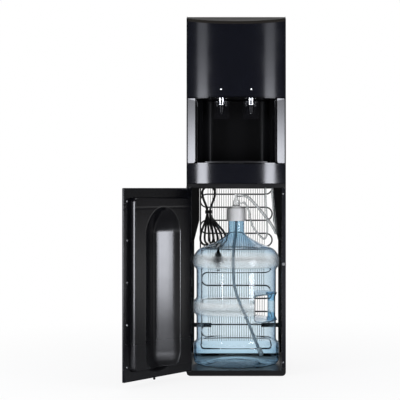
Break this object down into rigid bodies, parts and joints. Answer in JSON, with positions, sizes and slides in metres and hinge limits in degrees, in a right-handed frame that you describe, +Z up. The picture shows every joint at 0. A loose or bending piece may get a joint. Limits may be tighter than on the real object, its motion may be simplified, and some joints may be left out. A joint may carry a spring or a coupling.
{
  "type": "bottom load water cooler",
  "caption": "Free-standing bottom load water cooler with hot and cold taps over a drip tray, an open bottle bay behind a hinged bowed door, and a wire grid condenser at the back.",
  "frame": {"origin": "centre of the base underside, on the floor", "axes": "+Z up, -Y to the front where the taps and door are, +X to the right seen from the front"},
  "size_m": [0.472, 0.59, 1.09],
  "materials": {
    "gloss_black": "gloss",
    "black_sheet": "satin",
    "gloss_sheet": "gloss",
    "satin_black": "satin",
    "rubber": "matt",
    "chrome": "polished",
    "steel": "satin",
    "copper": "drawn tube",
    "white_plastic": "satin",
    "clear_hose": "clear hose",
    "bottle_blue": "clear blown plastic",
    "lit_lens": "lit lens",
    "board": "circuit board",
    "foam": "foam",
    "red_rocker": "satin",
    "green_rocker": "satin",
    "dark_tube": "dark tube"
  },
  "bodies": {
    "cabinet": {"base_pan": "satin_black", "side_panel_left": "gloss_sheet", "side_panel_right": "gloss_sheet", "top_cap": "satin_black", "upper_front_panel": "gloss_black", "lower_front_panel": "gloss_black", "bay_shelf": "black_sheet", "dispenser_niche": "satin_black", "tap_valve_hot": "satin_black", "tap_barrel_hot": "chrome", "tap_nozzle_hot": "satin_black", "tap_valve_cold": "satin_black", "tap_barrel_cold": "chrome", "tap_nozzle_cold": "satin_black", "indicator_lens_hot": "lit_lens", "indicator_lens_cold": "lit_lens", "indicator_board": "board", "door_hinge_upper": "black_sheet", "door_hinge_lower": "black_sheet", "catch_strike": "steel", "rear_panel": "black_sheet", "rear_switch_housing": "satin_black", "drain_plug": "satin_black", "condenser": "black_sheet", "water_hose": "clear_hose", "vent_hose": "clear_hose", "hose_bulkhead": "white_plastic", "compressor_mount": "black_sheet", "compressor": "black_sheet", "water_pump": "satin_black", "filter_drier": "copper", "control_box": "satin_black", "tank_shelf": "black_sheet", "cold_tank_insulation": "foam", "cold_tank": "steel", "evaporator_coil": "copper", "hot_tank": "steel", "heater_band": "steel", "cord_hank": "rubber", "cord_gland": "rubber", "cord_lead": "rubber", "cord_tie": "rubber", "mains_plug": "rubber", "discharge_pipe": "copper", "condenser_outlet_pipe": "black_sheet"},
    "door": {"door_skin": "gloss_black", "door_liner": "satin_black", "door_glide": "satin_black"},
    "bottle_set": {"bottle": "bottle_blue", "probe_cap": "white_plastic", "probe_fitting": "clear_hose", "dip_tube": "dark_tube", "intake_strainer": "white_plastic"},
    "paddle_hot": {"push_paddle_hot": "satin_black"},
    "paddle_cold": {"push_paddle_cold": "satin_black"},
    "rocker_hot": {"rear_switch_rocker_hot": "red_rocker"},
    "rocker_cold": {"rear_switch_rocker_cold": "green_rocker"},
    "tray": {"drip_tray": "satin_black"},
    "grille": {"drip_grille": "steel"}
  },
  "joints": [
    {"name": "door_hinge", "type": "hinge", "parent": "cabinet", "child": "door", "pos_m": [-0.1435, -0.174, 0.3], "axis": [0, 0, 1], "range_deg": [-7, 128]},
    {"name": "bottle_slide", "type": "slide", "parent": "cabinet", "child": "bottle_set", "axis": [0, 1, 0], "range_m": [-0.3, 0], "deforming": ["water_hose", "vent_hose"]},
    {"name": "paddle_hot_push", "type": "hinge", "parent": "cabinet", "child": "paddle_hot", "pos_m": [-0.045, -0.121, 0.8485], "axis": [1, 0, 0], "range_deg": [0, 10], "stiffness_Nm_per_rad": 0.6, "springref_deg": -5.73},
    {"name": "paddle_cold_push", "type": "hinge", "parent": "cabinet", "child": "paddle_cold", "pos_m": [0.045, -0.121, 0.8485], "axis": [1, 0, 0], "range_deg": [0, 10], "stiffness_Nm_per_rad": 0.6, "springref_deg": -5.73},
    {"name": "rocker_hot_tip", "type": "hinge", "parent": "cabinet", "child": "rocker_hot", "pos_m": [-0.112, 0.1622, 0.842], "axis": [1, 0, 0], "range_deg": [-8, 8]},
    {"name": "rocker_cold_tip", "type": "hinge", "parent": "cabinet", "child": "rocker_cold", "pos_m": [-0.084, 0.1622, 0.842], "axis": [1, 0, 0], "range_deg": [-8, 8]},
    {"name": "tray_lift", "type": "slide", "parent": "cabinet", "child": "tray", "axis": [0, 0, 1], "range_m": [0, 0.05]},
    {"name": "grille_lift", "type": "slide", "parent": "tray", "child": "grille", "axis": [0, 0, 1], "range_m": [0, 0.03]}
  ]
}
